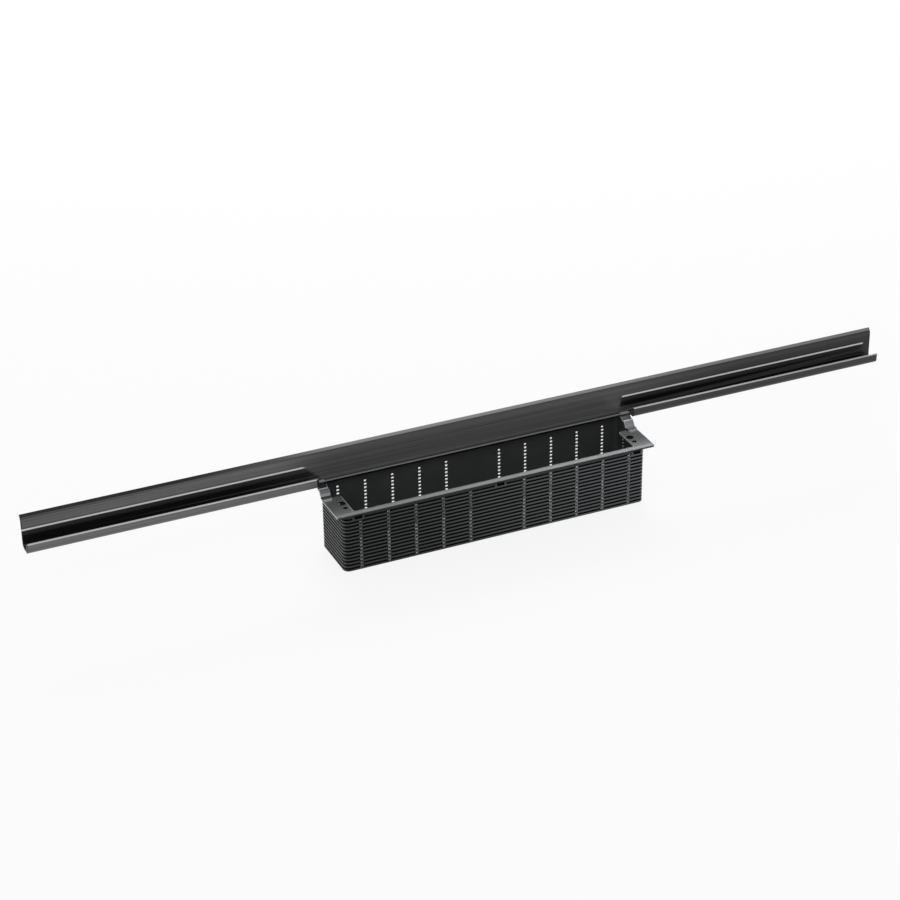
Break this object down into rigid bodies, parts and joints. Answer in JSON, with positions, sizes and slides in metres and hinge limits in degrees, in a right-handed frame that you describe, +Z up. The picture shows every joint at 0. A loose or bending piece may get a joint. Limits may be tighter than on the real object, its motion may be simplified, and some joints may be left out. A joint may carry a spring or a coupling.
{
  "type": "channel drain",
  "caption": "Wall channel drain: a slim folded rail whose middle opens over a ribbed, slotted sump box with a flat rim frame.",
  "frame": {"origin": "middle of the sump box's open foot, where the drain stands", "axes": "+X along the rail, +Y towards the wall behind it, +Z up"},
  "size_m": [0.9, 0.0641, 0.1054],
  "materials": {
    "rail": "brushed black, semi-gloss",
    "hanger": "dark satin",
    "rim": "dark grey satin",
    "box": "black, slightly satin"
  },
  "bodies": {
    "root": {"rail": "rail", "hanger_left": "hanger", "hanger_right": "hanger", "rim_frame": "rim", "sump_box": "box"}
  },
  "joints": []
}
